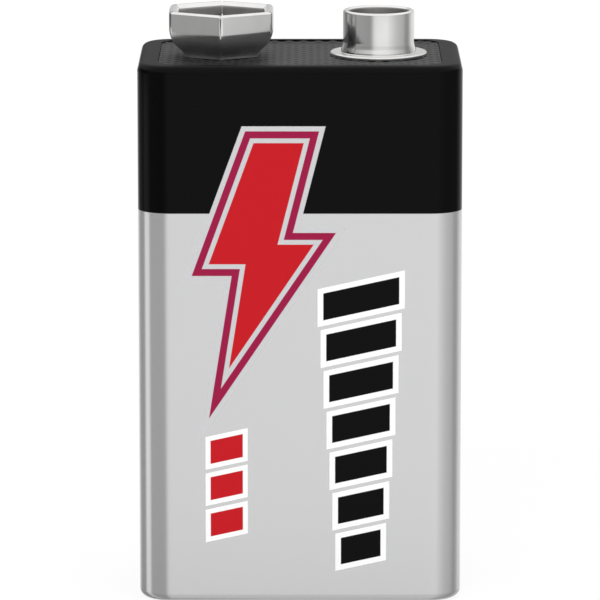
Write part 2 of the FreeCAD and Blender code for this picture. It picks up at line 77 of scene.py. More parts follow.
# %% [markdown]
# A material is a small tree of nodes. These helpers add a node and plug what it needs into it, so
# that a recipe further down reads like a formula: an input may be a number or another node's output.

# %% Helpers for node trees
def new_tree(name):
    """An empty material and its tree."""
    material = bpy.data.materials.new(name)
    material.use_nodes = True
    material.node_tree.nodes.clear()
    return material, material.node_tree


def add_node(tree, kind, inputs=None, **settings):
    """A node with its settings and inputs; an input is a value or a socket."""
    made = tree.nodes.new(kind)
    for name, setting in settings.items():
        setattr(made, name, setting)
    for key, given in (inputs or {}).items():
        if isinstance(given, bpy.types.NodeSocket):
            tree.links.new(given, made.inputs[key])
        else:
            made.inputs[key].default_value = given
    return made


def finish(tree, shader):
    """Plugs the finished shader into the material's output."""
    add_node(tree, "ShaderNodeOutputMaterial", {"Surface": shader.outputs[0]})


def grey(brightness):
    return (brightness, brightness, brightness, 1.0)


print("a middle grey:", grey(0.5))


# %% Helpers for sums and colours in a tree
def maths(tree, operation, first, second=0.0, third=0.0):
    """One sum, such as MULTIPLY_ADD: the first times the second, plus the third."""
    made = add_node(tree, "ShaderNodeMath", {0: first, 1: second, 2: third}, operation=operation)
    return made.outputs[0]


def spread(tree, number, low, high, to_low=0.0, to_high=1.0):
    """Stretches a range of numbers to another, with soft ends."""
    made = add_node(
        tree,
        "ShaderNodeMapRange",
        {"Value": number, "From Min": low, "From Max": high, "To Min": to_low, "To Max": to_high},
        interpolation_type="SMOOTHSTEP",
    )
    return made.outputs["Result"]


def blend(tree, share, first, second):
    """One colour turning into another."""
    made = add_node(tree, "ShaderNodeMix", data_type="RGBA")
    for socket, given in ((made.inputs[0], share), (made.inputs[6], first), (made.inputs[7], second)):
        if isinstance(given, bpy.types.NodeSocket):
            tree.links.new(given, socket)
        else:
            socket.default_value = given
    return made.outputs[2]


print("sums and colours can be built")


# %% Helpers for places and grain
def place_of(tree):
    """The surface point in metres, whole and as its x, y and z."""
    coordinates = add_node(tree, "ShaderNodeTexCoord")
    parts = add_node(tree, "ShaderNodeSeparateXYZ", {0: coordinates.outputs["Object"]})
    return coordinates.outputs["Object"], parts.outputs


def noise(tree, place, size, detail=3.0, stretch=(1.0, 1.0, 1.0)):
    """Grain whose grains are about that size; stretch makes them longer along an axis."""
    scaled = add_node(tree, "ShaderNodeMapping", {"Vector": place, "Scale": tuple(1 / s for s in stretch)})
    made = add_node(
        tree, "ShaderNodeTexNoise", {"Vector": scaled.outputs[0], "Scale": 1 / size, "Detail": detail}
    )
    return made.outputs["Fac"]


print("places and grain can be built")

# %% [markdown]
# The light is a product studio's: a white sweep, and soft boxes all round that show in the metal.
# Plain lamps light the colours. The soft boxes are painted on a drum that only reflections see, so
# each can be placed by the streak that it leaves on a round corner, and the white floor stays white.

# %% Floor
FLOOR_SIZE = 6.0
FLOOR_WHITE = 0.9
FLOOR_BRIGHT = 1.03
FLOOR_GLOW = 0.86

bpy.ops.object.select_all(action="DESELECT")
bpy.ops.mesh.primitive_plane_add(size=FLOOR_SIZE, location=(0, 0, 0))
floor = bpy.context.object
floor.name = "floor"
floor_paint, tree = new_tree("floor_paint")
light_path = add_node(tree, "ShaderNodeLightPath")
matt = add_node(tree, "ShaderNodeBsdfDiffuse", {"Color": grey(FLOOR_WHITE)})
glow = add_node(tree, "ShaderNodeEmission", {"Color": grey(1.0), "Strength": FLOOR_BRIGHT})
seen = maths(tree, "MULTIPLY", light_path.outputs["Is Camera Ray"], FLOOR_GLOW)
finish(tree, add_node(tree, "ShaderNodeMixShader", {0: seen, 1: matt.outputs[0], 2: glow.outputs[0]}))
floor.data.materials.append(floor_paint)
floor.visible_glossy = False
print("floor", FLOOR_SIZE, "metres wide")

# %% World
ROOM_LIGHT = 0.42

world = bpy.data.worlds.new("studio")
bpy.context.scene.world = world
world.use_nodes = True
tree = world.node_tree
tree.nodes.clear()
light_path = add_node(tree, "ShaderNodeLightPath")
direct = maths(tree, "MAXIMUM", light_path.outputs["Is Camera Ray"], light_path.outputs["Is Glossy Ray"])
direct = maths(tree, "MAXIMUM", direct, light_path.outputs["Is Transmission Ray"])
level = maths(tree, "ADD", maths(tree, "MULTIPLY", direct, 1 - ROOM_LIGHT), ROOM_LIGHT)
sky = add_node(tree, "ShaderNodeBackground", {"Color": grey(1.0), "Strength": level})
add_node(tree, "ShaderNodeOutputWorld", {"Surface": sky.outputs[0]})
print("room light", ROOM_LIGHT, "of the white that the camera sees")

# %% Lamps
# Each lamp is given by its place in metres, its power in watts and its width in metres.
LAMPS = {
    "key_lamp": ((-0.25, -0.60, 0.32), 2.0, 0.45),
    "fill_lamp": ((0.40, -0.50, 0.25), 1.0, 0.45),
    "top_lamp": ((0.0, 0.05, 0.75), 1.7, 0.55),
    "back_lamp": ((0.15, 0.60, 0.30), 1.2, 0.45),
}
AIM = Vector((0, 0, 22 * MM))

for name, (spot, power, size) in LAMPS.items():
    lamp_data = bpy.data.lights.new(name, "AREA")
    lamp_data.energy = power
    lamp_data.size = size
    lamp = bpy.data.objects.new(name, lamp_data)
    lamp.location = spot
    lamp.rotation_euler = (AIM - Vector(spot)).to_track_quat("-Z", "Y").to_euler()
    lamp.visible_glossy = False
    bpy.context.scene.collection.objects.link(lamp)
print("lamps:", ", ".join(LAMPS))

# %% [markdown]
# The drum's light depends on the compass bearing round the battery. Bearing 0 is in front, and it
# grows to the right. One list serves the case, the other the terminals, which stand higher and so
# look over the top edge of the strip box on the left. Above the boxes the walls are a little darker,
# up to a bright ceiling that lights the rims.

# %% Drum: levels round the battery
CEILING = 1.14
SHARED_BOXES = [
    (-28, 0.37), (-22, 0.46), (-13, 0.88), (-2, 0.98), (28, 1.0), (38, 0.86), (58, 0.64),
    (86, 0.49), (97, 0.33), (108, 0.34), (130, 0.86), (150, 0.92),
]
CASE_BOXES = [
    (-180, 0.95), (-150, 0.86), (-132, 0.33), (-106, 0.31), (-97, 1.02), (-84, 1.04), (-74, 0.39),
]
TERMINAL_BOXES = [
    (-180, 0.80), (-160, 0.50), (-137, 0.24), (-112, 0.12),
    (-90, 0.19), (-76, 0.42), (-60, 0.41), (-40, 0.39),
]


def box_ramp(tree, bearing, boxes):
    """The brightness that a list of bearings and levels gives, as a share of the ceiling's."""
    ramp = add_node(tree, "ShaderNodeValToRGB", {"Fac": bearing})
    ramp.color_ramp.interpolation = "LINEAR"
    stops = ramp.color_ramp.elements
    for degrees, brightness in boxes + SHARED_BOXES:
        stop = stops.new(degrees / 360 + 0.5)
        stop.color = grey(brightness / CEILING)
    # A new ramp has two stops of its own: the first goes, and the last closes the circle.
    stops.remove(stops[0])
    stops[-1].color = grey(boxes[0][1] / CEILING)
    return ramp.outputs["Color"]


print(len(CASE_BOXES + SHARED_BOXES), "levels at the case,", len(TERMINAL_BOXES + SHARED_BOXES), "above it")

# %% Drum: hang it up
DRUM_RADIUS = 250 * MM
STRIP_TOP = (5.5 * MM, 9.5 * MM)
WALL_FROM = (50 * MM, 62 * MM)
WALL_LEVEL = 0.84
CEILING_FROM = (22, 45)
DIM_BELOW = (-75 * MM, -50 * MM)
DIM_LEVEL = 0.7

bpy.ops.object.select_all(action="DESELECT")
bpy.ops.mesh.primitive_uv_sphere_add(segments=64, ring_count=32, radius=DRUM_RADIUS, location=(0, 0, 0))
drum = bpy.context.object
drum.name = "soft_boxes"
drum_glow, tree = new_tree("soft_box_glow")
_, (x, y, z) = place_of(tree)
bearing = maths(tree, "ARCTAN2", x, maths(tree, "MULTIPLY", y, -1.0))
bearing = maths(tree, "MULTIPLY_ADD", bearing, 1 / math.tau, 0.5)
above_strip = spread(tree, z, *STRIP_TOP)
ring = blend(tree, above_strip, box_ramp(tree, bearing, CASE_BOXES), box_ramp(tree, bearing, TERMINAL_BOXES))
ring = blend(tree, maths(tree, "MULTIPLY", spread(tree, z, *WALL_FROM), 1 - WALL_LEVEL), ring, grey(0.0))
ceiling_low, ceiling_high = (DRUM_RADIUS * math.sin(math.radians(angle)) for angle in CEILING_FROM)
lit = blend(tree, spread(tree, z, ceiling_low, ceiling_high), ring, grey(1.0))
strength = spread(tree, z, *DIM_BELOW, DIM_LEVEL * CEILING, CEILING)
finish(tree, add_node(tree, "ShaderNodeEmission", {"Color": lit, "Strength": strength}))
drum.data.materials.append(drum_glow)
drum.visible_camera = False
drum.visible_diffuse = False
drum.visible_shadow = False
print("drum with a radius of", round(DRUM_RADIUS / MM), "mm")

# %% [markdown]
# The modelling helpers do what a hand does: start a block, pick some edges, and use the tool.
# Picking is by place or direction, so it reads like the words one would say at the bench.

# %% Helpers for blocks and editing
def block(name, low, high):
    """A box between two corners, with its place in its mesh."""
    low, high = Vector(low), Vector(high)
    bpy.ops.object.select_all(action="DESELECT")
    bpy.ops.mesh.primitive_cube_add(size=1, location=(low + high) / 2, scale=high - low)
    piece = bpy.context.object
    piece.name = piece.data.name = name
    bpy.ops.object.transform_apply(location=True, rotation=True, scale=True)
    return piece


def take(piece):
    """Selects one piece alone."""
    bpy.ops.object.select_all(action="DESELECT")
    bpy.context.view_layer.objects.active = piece
    piece.select_set(True)


def edit(piece):
    """Opens a piece for editing."""
    take(piece)
    bpy.ops.object.mode_set(mode="EDIT")
    bpy.ops.mesh.select_mode(type="EDGE")


def done():
    """Closes the piece that is open for editing."""
    bpy.ops.object.mode_set(mode="OBJECT")


def modify(piece, kind, **settings):
    """Adds a modifier and applies it at once."""
    take(piece)
    modifier = piece.modifiers.new(kind.lower(), kind)
    for name, setting in settings.items():
        setattr(modifier, name, setting)
    bpy.ops.object.modifier_apply(modifier=modifier.name)


def smooth(piece, angle=40):
    """Shades a piece smooth, apart from edges that are sharper than the angle in degrees."""
    take(piece)
    bpy.ops.object.shade_smooth_by_angle(angle=math.radians(angle))


print("the bench is ready")

# %% Helpers for picking
CLOSE = 0.004 * MM
SAME_WAY = 0.99


def pick(kind, wanted):
    """Selects the vertices, edges or faces of the open piece that the test wants."""
    shape = bmesh.from_edit_mesh(bpy.context.object.data)
    bpy.ops.mesh.select_mode(type={"verts": "VERT", "edges": "EDGE", "faces": "FACE"}[kind])
    for item in (*shape.faces, *shape.edges, *shape.verts):
        item.select = False
    chosen = [item for item in getattr(shape, kind) if wanted(item)]
    for item in chosen:
        item.select = True
    shape.select_flush_mode()
    bmesh.update_edit_mesh(bpy.context.object.data)
    return len(chosen)


def at_height(height):
    """A test for edges that lie flat at a height."""

    def wanted(edge):
        return all(abs(vertex.co.z - height) < CLOSE for vertex in edge.verts)

    return wanted


def upright(edge):
    """True for an edge that stands straight up."""
    return abs((edge.verts[0].co - edge.verts[1].co).normalized().z) > SAME_WAY


print("two places count as one within", round(CLOSE / MM, 3), "mm")

# %% [markdown]
# The case is one tin-plated sheet. It is bent round the four sides, lapped at a seam, and folded in
# at both ends, where it holds the plates. A box with its upright edges rounded is the bent sheet.
# Rounding the end edges makes the folds, and the ends are then opened as far as the lips reach.

# %% Case: bend and fold
CASE_LOW, CASE_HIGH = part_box("jacket")
CORNER_ROUND = 2.6 * MM
FOLD_ROUND = 0.65 * MM

case = block("case", CASE_LOW, CASE_HIGH)
edit(case)
pick("edges", upright)
bpy.ops.mesh.bevel(offset=CORNER_ROUND, segments=16, affect="EDGES")
for height in (CASE_LOW.z, CASE_HIGH.z):
    pick("edges", at_height(height))
    bpy.ops.mesh.bevel(offset=FOLD_ROUND, segments=8, affect="EDGES")
print("case", round((CASE_HIGH.z - CASE_LOW.z) / MM, 2), "mm tall")

# %% Case: open the ends
LIP_SIDE = 1.65 * MM
LIP_FRONT = 1.175 * MM
CASE_HALF = (CASE_HIGH - CASE_LOW) / 2
LIP_OPENING = Vector((CASE_HALF.x - LIP_SIDE, CASE_HALF.y - LIP_FRONT))

shrink = (LIP_OPENING.x / (CASE_HALF.x - FOLD_ROUND), LIP_OPENING.y / (CASE_HALF.y - FOLD_ROUND), 1.0)
for height in (CASE_LOW.z, CASE_HIGH.z):
    pick("faces", lambda face: abs(face.calc_center_median().z - height) < CLOSE)
    bpy.ops.mesh.extrude_region_move(TRANSFORM_OT_translate={"value": (0, 0, 0)})
    bpy.ops.transform.resize(value=shrink, center_override=(0, 0, height))
    bpy.ops.mesh.delete(type="FACE")
print("opening", [round(2 * reach / MM, 2) for reach in LIP_OPENING], "mm")

# %% [markdown]
# The seam runs down the right side, where the outer layer of the sheet ends over the inner one. Two
# cuts mark the strip beside its edge. The strip is doubled in place, one of its edges is pushed in
# by the step of the lap, and merging the doubles closes its other sides again.

# %% Case: seam
SEAM_EDGE = 1.6 * MM
SEAM_RAMP = 0.5 * MM
SEAM_STEP = 0.12 * MM


def on_right_side(face):
    return face.normal.x > SAME_WAY


def on_ramp(face):
    middle = SEAM_EDGE + SEAM_RAMP / 2
    return on_right_side(face) and abs(face.calc_center_median().y - middle) < CLOSE


for across in (SEAM_EDGE, SEAM_EDGE + SEAM_RAMP):
    pick("faces", on_right_side)
    bpy.ops.mesh.bisect(plane_co=(0, across, 0), plane_no=(0, 1, 0))
pick("faces", on_ramp)
bpy.ops.mesh.extrude_region_move(TRANSFORM_OT_translate={"value": (0, 0, 0)})
shape = bmesh.from_edit_mesh(case.data)
pushed = [vertex for vertex in shape.verts if vertex.select and abs(vertex.co.y - SEAM_EDGE) < CLOSE]
pick("verts", lambda vertex: vertex in pushed)
bpy.ops.transform.translate(value=(-SEAM_STEP, 0, 0))
bpy.ops.mesh.select_all(action="SELECT")
bpy.ops.mesh.remove_doubles(threshold=CLOSE / 4)
bpy.ops.mesh.normals_make_consistent(inside=False)
done()
print("seam with a step of", round(SEAM_STEP / MM, 2), "mm")

# %% Case: thickness
SHEET = 0.25 * MM

modify(case, "SOLIDIFY", thickness=SHEET, offset=-1, use_even_offset=True)
smooth(case)
modify(case, "WEIGHTED_NORMAL", keep_sharp=True)
print("case:", len(case.data.polygons), "faces")

# %% [markdown]
# The plate under the top lip is moulded in black plastic, and its panel has a fine embossed pattern
# of soft cells, raised and sunk like a chequer board. Bump in the material would only paint such
# cells, so they are cut: a copy of the model's plate is skimmed by a cutter, made from a fine grid,
# that has the pattern on its underside. The cutter lifts towards the border, because the panel
# swells up there until it meets the lip.

# %% Top plate: how far from the lip
LIP_CORNER = 1.8 * MM


def inside_lip(spot):
    """How far inside the lip's rounded opening a spot lies."""
    past_x = abs(spot.x) - LIP_OPENING.x + LIP_CORNER
    past_y = abs(spot.y) - LIP_OPENING.y + LIP_CORNER
    if past_x > 0 and past_y > 0:
        return LIP_CORNER - math.hypot(past_x, past_y)
    return LIP_CORNER - max(past_x, past_y)


print("the middle lies", round(inside_lip(Vector((0, 0))) / MM, 2), "mm from the lip")

# %% Top plate: cutter
PLATE_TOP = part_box("top_plate")[1].z
CELL_ACROSS = 0.60 * MM
CELL_ALONG = 0.62 * MM
CELLS_ACROSS = 40
CELLS_ALONG = 24
STEPS_PER_CELL = 6
EMBOSS_DEPTH = 0.08 * MM
EMBOSS_MIDDLE = 0.53
SWELL = 0.13 * MM
SWELL_FROM = 0.85 * MM
CUTTER_TALL = 1 * MM

bpy.ops.object.select_all(action="DESELECT")
bpy.ops.mesh.primitive_grid_add(
    x_subdivisions=CELLS_ACROSS * STEPS_PER_CELL,
    y_subdivisions=CELLS_ALONG * STEPS_PER_CELL,
    size=2,
    location=(0, 0, 0),
)
cutter = bpy.context.object
cutter.scale = (CELLS_ACROSS / 2 * CELL_ACROSS, CELLS_ALONG / 2 * CELL_ALONG, 1)
bpy.ops.object.transform_apply(location=True, rotation=True, scale=True)
for vertex in cutter.data.vertices:
    wave = math.sin(math.pi * vertex.co.x / CELL_ACROSS) * math.sin(math.pi * vertex.co.y / CELL_ALONG)
    swollen = SWELL * max(0.0, min(1.0, 1 - inside_lip(vertex.co) / SWELL_FROM))
    vertex.co.z = PLATE_TOP + swollen - EMBOSS_DEPTH * (EMBOSS_MIDDLE + wave / 2)
edit(cutter)
bpy.ops.mesh.select_all(action="SELECT")
bpy.ops.mesh.extrude_region_move(TRANSFORM_OT_translate={"value": (0, 0, CUTTER_TALL)})
bpy.ops.mesh.select_all(action="SELECT")
bpy.ops.mesh.normals_make_consistent(inside=False)
done()
print("cutter:", len(cutter.data.polygons), "faces")

# %% Top plate: tests for the panel
PANEL_RISE = 0.08 * MM
PANEL_FIT = 0.1 * MM
LIP_GAP = 0.025 * MM
OUTLINE_BAND = 2 * MM
PANEL = LIP_OPENING - Vector((PANEL_FIT, PANEL_FIT))
PANEL_GROWN = LIP_OPENING - Vector((LIP_GAP, LIP_GAP))


def near_outline(vertex, panel):
    """True near the outline of a panel of that size, and so not on its rivet holes."""
    return abs(vertex.co.x) > panel.x - OUTLINE_BAND or abs(vertex.co.y) > panel.y - OUTLINE_BAND


def panel_outline(vertex):
    """True on the outline of the raised panel, at its foot and its top."""
    on_panel = abs(vertex.co.x) < PANEL.x + CLOSE and abs(vertex.co.y) < PANEL.y + CLOSE
    return vertex.co.z > PLATE_TOP - PANEL_RISE - CLOSE and on_panel and near_outline(vertex, PANEL)


def panel_border(vertex):
    """True on the top outline of the panel, once that reaches the lip."""
    return vertex.co.z > PLATE_TOP - CLOSE and near_outline(vertex, PANEL_GROWN)


print("panel", [round(2 * reach / MM, 2) for reach in PANEL], "mm before it grows")

# %% Top plate: meet the lip, and skim the panel
plate = bpy.data.objects.new("embossed_plate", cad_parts["top_plate"].data.copy())
bpy.context.scene.collection.objects.link(plate)
edit(plate)
bpy.ops.mesh.select_all(action="SELECT")
bpy.ops.mesh.remove_doubles(threshold=CLOSE / 4)
pick("verts", panel_outline)
growth = (PANEL_GROWN.x / PANEL.x, PANEL_GROWN.y / PANEL.y, 1)
bpy.ops.transform.resize(value=growth, center_override=(0, 0, PLATE_TOP))
print("border vertices:", pick("verts", panel_border))
bpy.ops.transform.translate(value=(0, 0, SWELL))
done()
modify(plate, "BOOLEAN", object=cutter, operation="DIFFERENCE", solver="EXACT")
bpy.data.objects.remove(cutter)
smooth(plate, angle=35)
print("plate:", len(plate.data.polygons), "faces")

# %% [markdown]
# The stud is drawn from one disc: a flange, a wall that goes up, a rim where the sheet turns back on
# itself, and a floor that the rivet holds. It is built as it is drawn. One ring of edges is pulled
# from radius to radius, and the rings that are bends in the metal are rounded afterwards.

# %% Helpers for drawing a ring
def start_ring(name, centre, radius, sides):
    """A ring of edges, open for editing."""
    bpy.ops.object.select_all(action="DESELECT")
    bpy.ops.mesh.primitive_circle_add(vertices=sides, radius=radius, location=centre)
    piece = bpy.context.object
    piece.name = piece.data.name = name
    bpy.ops.object.transform_apply(location=True, rotation=True, scale=True)
    edit(piece)
    bpy.ops.mesh.select_all(action="SELECT")
    return piece


def draw_ring(centre, old, new):
    """Pulls the open ring from one radius and height to another."""
    (old_radius, old_height), (new_radius, new_height) = old, new
    bpy.ops.mesh.extrude_region_move(TRANSFORM_OT_translate={"value": (0, 0, new_height - old_height)})
    factor = new_radius / old_radius
    middle = (centre.x, centre.y, centre.z + new_height)
    bpy.ops.transform.resize(value=(factor, factor, 1), center_override=middle)


def draw_profile(name, centre, stations, sides, shape_ring=None):
    """A turned form from its radii and heights, closed on itself; the first ring may be reshaped."""
    radius, height = stations[0]
    piece = start_ring(name, centre + Vector((0, 0, height)), radius, sides)
    if shape_ring:
        shape_ring()
    for old, new in zip(stations, stations[1:] + stations[:1]):
        draw_ring(centre, old, new)
    bpy.ops.mesh.select_all(action="SELECT")
    bpy.ops.mesh.remove_doubles(threshold=CLOSE / 4)
    bpy.ops.mesh.normals_make_consistent(inside=False)
    return piece


def ring_at(centre, radius, height):
    """A test for the edges of one ring."""

    def wanted(edge):
        spots = [vertex.co - centre for vertex in edge.verts]
        at_level = all(abs(spot.z - height) < CLOSE for spot in spots)
        return at_level and all(abs(spot.xy.length - radius) < CLOSE for spot in spots)

    return wanted


print("rings can be drawn")

# %% Stud: sizes
STUD_LOW, STUD_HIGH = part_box("stud_terminal")
STUD_CENTRE = Vector(((STUD_LOW.x + STUD_HIGH.x) / 2, 0, STUD_LOW.z))
FLANGE = (STUD_HIGH.x - STUD_LOW.x) / 2
STUD_TALL = STUD_HIGH.z - STUD_LOW.z
STUD_WALL = 2.88 * MM
STUD_BORE = 2.40 * MM
RIVET_HOLE = 1.05 * MM
COLLAR = (3.05 * MM, 0.38 * MM)
FLARE = 0.92 * MM
print("stud", round(STUD_TALL / MM, 2), "mm tall")

# %% Stud: draw it
# A station is a radius and a height. A bend repeats a station and adds how far it is rounded.
ROUND_STEPS = 96

stud_stations = [
    (RIVET_HOLE, 0.0),
    (FLANGE, 0.0),
    (FLANGE, SHEET),
    (COLLAR[0], SHEET),
    COLLAR,
    (STUD_WALL, FLARE),
    (STUD_WALL, STUD_TALL),
    (STUD_BORE, STUD_TALL),
    (STUD_BORE, SHEET),
    (RIVET_HOLE, SHEET),
]
stud_rounds = [
    (FLANGE, 0.0, 0.02 * MM),
    (FLANGE, SHEET, 0.11 * MM),
    (COLLAR[0], SHEET, 0.06 * MM),
    (*COLLAR, 0.06 * MM),
    (STUD_WALL, FLARE, 0.28 * MM),
    (STUD_WALL, STUD_TALL, 0.20 * MM),
    (STUD_BORE, STUD_TALL, 0.26 * MM),
    (STUD_BORE, SHEET, 0.20 * MM),
]
stud = draw_profile("stud", STUD_CENTRE, stud_stations, ROUND_STEPS)
for radius, height, rounding in stud_rounds:
    pick("edges", ring_at(STUD_CENTRE, radius, height))
    bpy.ops.mesh.bevel(offset=rounding, segments=6, affect="EDGES")
done()
smooth(stud)
print("stud:", len(stud.data.polygons), "faces")

# %% [markdown]
# The socket is the piece with the most work in it. Its foot is a six-sided bowl on a riveted floor.
# From the bowl rise six petals with their rims folded inwards, parted by slits at the corners so
# that they spring over a stud. It is drawn like the stud, but from a ring with six sides. Pressed
# sheet is never quite flat, so each side is bowed outwards a little, and its shine changes across it.

# %% Socket: sizes
SOCKET_LOW, SOCKET_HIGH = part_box("socket_terminal")
SOCKET_CENTRE = Vector(((SOCKET_LOW.x + SOCKET_HIGH.x) / 2, 0, SOCKET_LOW.z))
SOCKET_TALL = SOCKET_HIGH.z - SOCKET_LOW.z
WALL_FLAT = (SOCKET_HIGH.x - SOCKET_LOW.x) / 2
BASE_FLAT = 3.02 * MM
FOOT = 0.32 * MM
SHOULDER = 1.5 * MM
LEAN = math.atan2(WALL_FLAT - BASE_FLAT, SHOULDER - FOOT)
print("bowl leans", round(math.degrees(LEAN)), "degrees from upright")

# %% Socket: the six-sided ring
HEX = 6
HALF_SIDE = math.pi / HEX
STEPS_PER_SIDE = 4
BOW = 0.013
CORNER_REACH = (1 - BOW) / math.cos(HALF_SIDE)
SAME_BEARING = math.radians(1)


def side_shape(spot):
    """How much further out than the middle of a side the bowed side lies in that direction."""
    off_middle = (math.atan2(spot.x, spot.y) % (2 * HALF_SIDE)) - HALF_SIDE
    bowed = 1 - BOW * (math.tan(off_middle) / math.tan(HALF_SIDE)) ** 2
    return bowed / math.cos(off_middle)


def make_six_sided():
    """Pulls the points of the open round ring out to the six sides."""
    for step in range(STEPS_PER_SIDE // 2 + 1):
        angle = step * 2 * HALF_SIDE / STEPS_PER_SIDE
        sample = Vector((math.sin(HALF_SIDE + angle), math.cos(HALF_SIDE + angle)))
        factor = side_shape(sample)

        def at_that_angle(vertex):
            bearing = math.atan2(vertex.co.x - SOCKET_CENTRE.x, vertex.co.y) % (2 * HALF_SIDE)
            off_corner = min(bearing, 2 * HALF_SIDE - bearing)
            return abs(HALF_SIDE - off_corner - angle) < SAME_BEARING

        pick("verts", at_that_angle)
        bpy.ops.transform.resize(value=(factor, factor, 1), center_override=SOCKET_CENTRE)
    bpy.ops.mesh.select_all(action="SELECT")


def hex_ring_at(flat, height):
    """A test for the edges of one six-sided ring, named by the distance to its sides."""

    def wanted(edge):
        spots = [vertex.co - SOCKET_CENTRE for vertex in edge.verts]
        at_level = all(abs(spot.z - height) < CLOSE for spot in spots)
        return at_level and all(abs(spot.xy.length / side_shape(spot) - flat) < CLOSE for spot in spots)

    return wanted


print("a corner reaches", round(CORNER_REACH, 3), "times as far as a side")

# %% Socket: draw it
# The stations are read as the stud's are, with the distance to the sides for a radius. Each bend also
# says in how many steps it is rounded.
BOWL_ROUND = 1.75 * MM
RIM_WIDTH = 0.8 * MM
RIM_ROUND = 0.22 * MM
RIM_FOLD = 0.48 * MM
INNER_LEAF = 1.0 * MM

bent = math.tan(LEAN / 2)
inner_shoulder = SHOULDER + SHEET * bent
inner_base = BASE_FLAT + SHEET * math.tan(LEAN) - SHEET / math.cos(LEAN)
socket_stations = [
    (RIVET_HOLE, 0.0),
    (BASE_FLAT, 0.0),
    (BASE_FLAT, FOOT),
    (WALL_FLAT, SHOULDER),
    (WALL_FLAT, SOCKET_TALL),
    (WALL_FLAT - RIM_WIDTH, SOCKET_TALL),
    (WALL_FLAT - RIM_WIDTH, SOCKET_TALL - INNER_LEAF),
    (WALL_FLAT - RIM_WIDTH + SHEET, SOCKET_TALL - INNER_LEAF),
    (WALL_FLAT - RIM_WIDTH + SHEET, SOCKET_TALL - SHEET),
    (WALL_FLAT - SHEET, SOCKET_TALL - SHEET),
    (WALL_FLAT - SHEET, inner_shoulder),
    (inner_base, SHEET),
    (RIVET_HOLE, SHEET),
]
socket_rounds = [
    (WALL_FLAT, SHOULDER, BOWL_ROUND * bent, 10),
    (WALL_FLAT - SHEET, inner_shoulder, (BOWL_ROUND - SHEET) * bent, 6),
    (BASE_FLAT, 0.0, 0.04 * MM, 3),
    (BASE_FLAT, FOOT, 0.26 * MM, 5),
    (inner_base, SHEET, 0.30 * MM, 3),
    (WALL_FLAT, SOCKET_TALL, RIM_ROUND, 6),
    (WALL_FLAT - RIM_WIDTH, SOCKET_TALL, RIM_FOLD, 8),
    (WALL_FLAT - SHEET, SOCKET_TALL - SHEET, 0.12 * MM, 2),
    (WALL_FLAT - RIM_WIDTH + SHEET, SOCKET_TALL - SHEET, 0.20 * MM, 3),
]
socket = draw_profile("socket", SOCKET_CENTRE, socket_stations, HEX * STEPS_PER_SIDE, make_six_sided)
for flat, height, rounding, steps in socket_rounds:
    pick("edges", hex_ring_at(flat, height))
    bpy.ops.mesh.bevel(offset=rounding, segments=steps, affect="EDGES")
print("socket drawn with", HEX, "sides")

# %% [markdown]
# The sheet can't be sharp where two sides meet, so the six corners are softened from the foot to
# the rim. That small rounding matters: it is what shows the bright outline of every petal. A blade
# then cuts each corner. The outer leaves part a little, while the inner ones almost touch.

# %% Socket: soft corners
CORNER_SOFT = 0.45 * MM
CREASE = math.radians(8)
SLIT_BOTTOM = 1.85 * MM


def outer_corner(edge):
    """True for an edge of the outside along one of the six corners."""
    spots = [vertex.co - SOCKET_CENTRE for vertex in edge.verts]
    for spot in spots + [(spots[0] + spots[1]) / 2]:
        off_corner = math.sin(HEX / 2 * math.atan2(spot.x, spot.y))
        if abs(off_corner) * spot.xy.length > CLOSE:
            return False
        if spot.xy.length < (WALL_FLAT - RIM_ROUND) * CORNER_REACH - CLOSE and spot.z > SLIT_BOTTOM:
            return False
    return edge.is_convex and edge.calc_face_angle() > CREASE


print("corner edges:", pick("edges", outer_corner))
bpy.ops.mesh.bevel(offset=CORNER_SOFT * math.tan(HALF_SIDE), segments=5, affect="EDGES")
done()

# %% Socket: slits
OUTER_SLIT = 0.08 * MM
INNER_SLIT = 0.012 * MM
BLADE_NEAR = 1 * MM
BLADE_FAR = 6 * MM
BLADE_ABOVE = 1 * MM
PAST_INNER_LEAF = 0.05 * MM


def cut_slit(number, width, nearest):
    """Cuts one slit, as wide as a blade that reaches outwards from that distance to the axis."""
    blade = block(
        "blade",
        SOCKET_CENTRE + Vector((-width / 2, nearest, SLIT_BOTTOM)),
        SOCKET_CENTRE + Vector((width / 2, BLADE_FAR, SOCKET_TALL + BLADE_ABOVE)),
    )
    turned = Matrix.Rotation(number * math.tau / HEX, 4, "Z")
    blade.data.transform(Matrix.Translation(SOCKET_CENTRE) @ turned @ Matrix.Translation(-SOCKET_CENTRE))
    modify(socket, "BOOLEAN", object=blade, operation="DIFFERENCE", solver="MANIFOLD")
    bpy.data.objects.remove(blade)


between_leaves = (WALL_FLAT - RIM_WIDTH + SHEET) * CORNER_REACH + PAST_INNER_LEAF
for number in range(HEX):
    cut_slit(number, OUTER_SLIT, between_leaves)
    cut_slit(number, INNER_SLIT, BLADE_NEAR)
smooth(socket)
modify(socket, "WEIGHTED_NORMAL", keep_sharp=True)
print("socket:", len(socket.data.polygons), "faces")

# %% [markdown]
# The sheet metal of the case carries a printed film. Its top is black and the rest silver, the flat
# light grey of a metallic ink. The design on the front is made of plain shapes: a bolt with two
# outlines over the join of the colours, a column of slanted charge bars, and three small red bars.
# A straight-sided shape is the part inside all of its sides, so a few sums per side are enough.

# %% Case: inks
def ink(red, green, blue):
    """A colour as it is named on screen, made ready for a shader by the screen's own curve."""

    def linear(level):
        level /= 255
        return level / 12.92 if level <= 0.04045 else ((level + 0.055) / 1.055) ** 2.4

    return (linear(red), linear(green), linear(blue), 1.0)


SILVER = (0.645, 0.645, 0.65, 1.0)
BLACK = (0.0014, 0.0014, 0.0015, 1.0)
RED = ink(193, 26, 35)
CRIMSON = ink(152, 26, 68)
PALE = ink(200, 200, 202)
WHITE = ink(248, 248, 248)
INK_BLACK = ink(6, 6, 7)
print("red ink:", [round(channel, 3) for channel in RED])

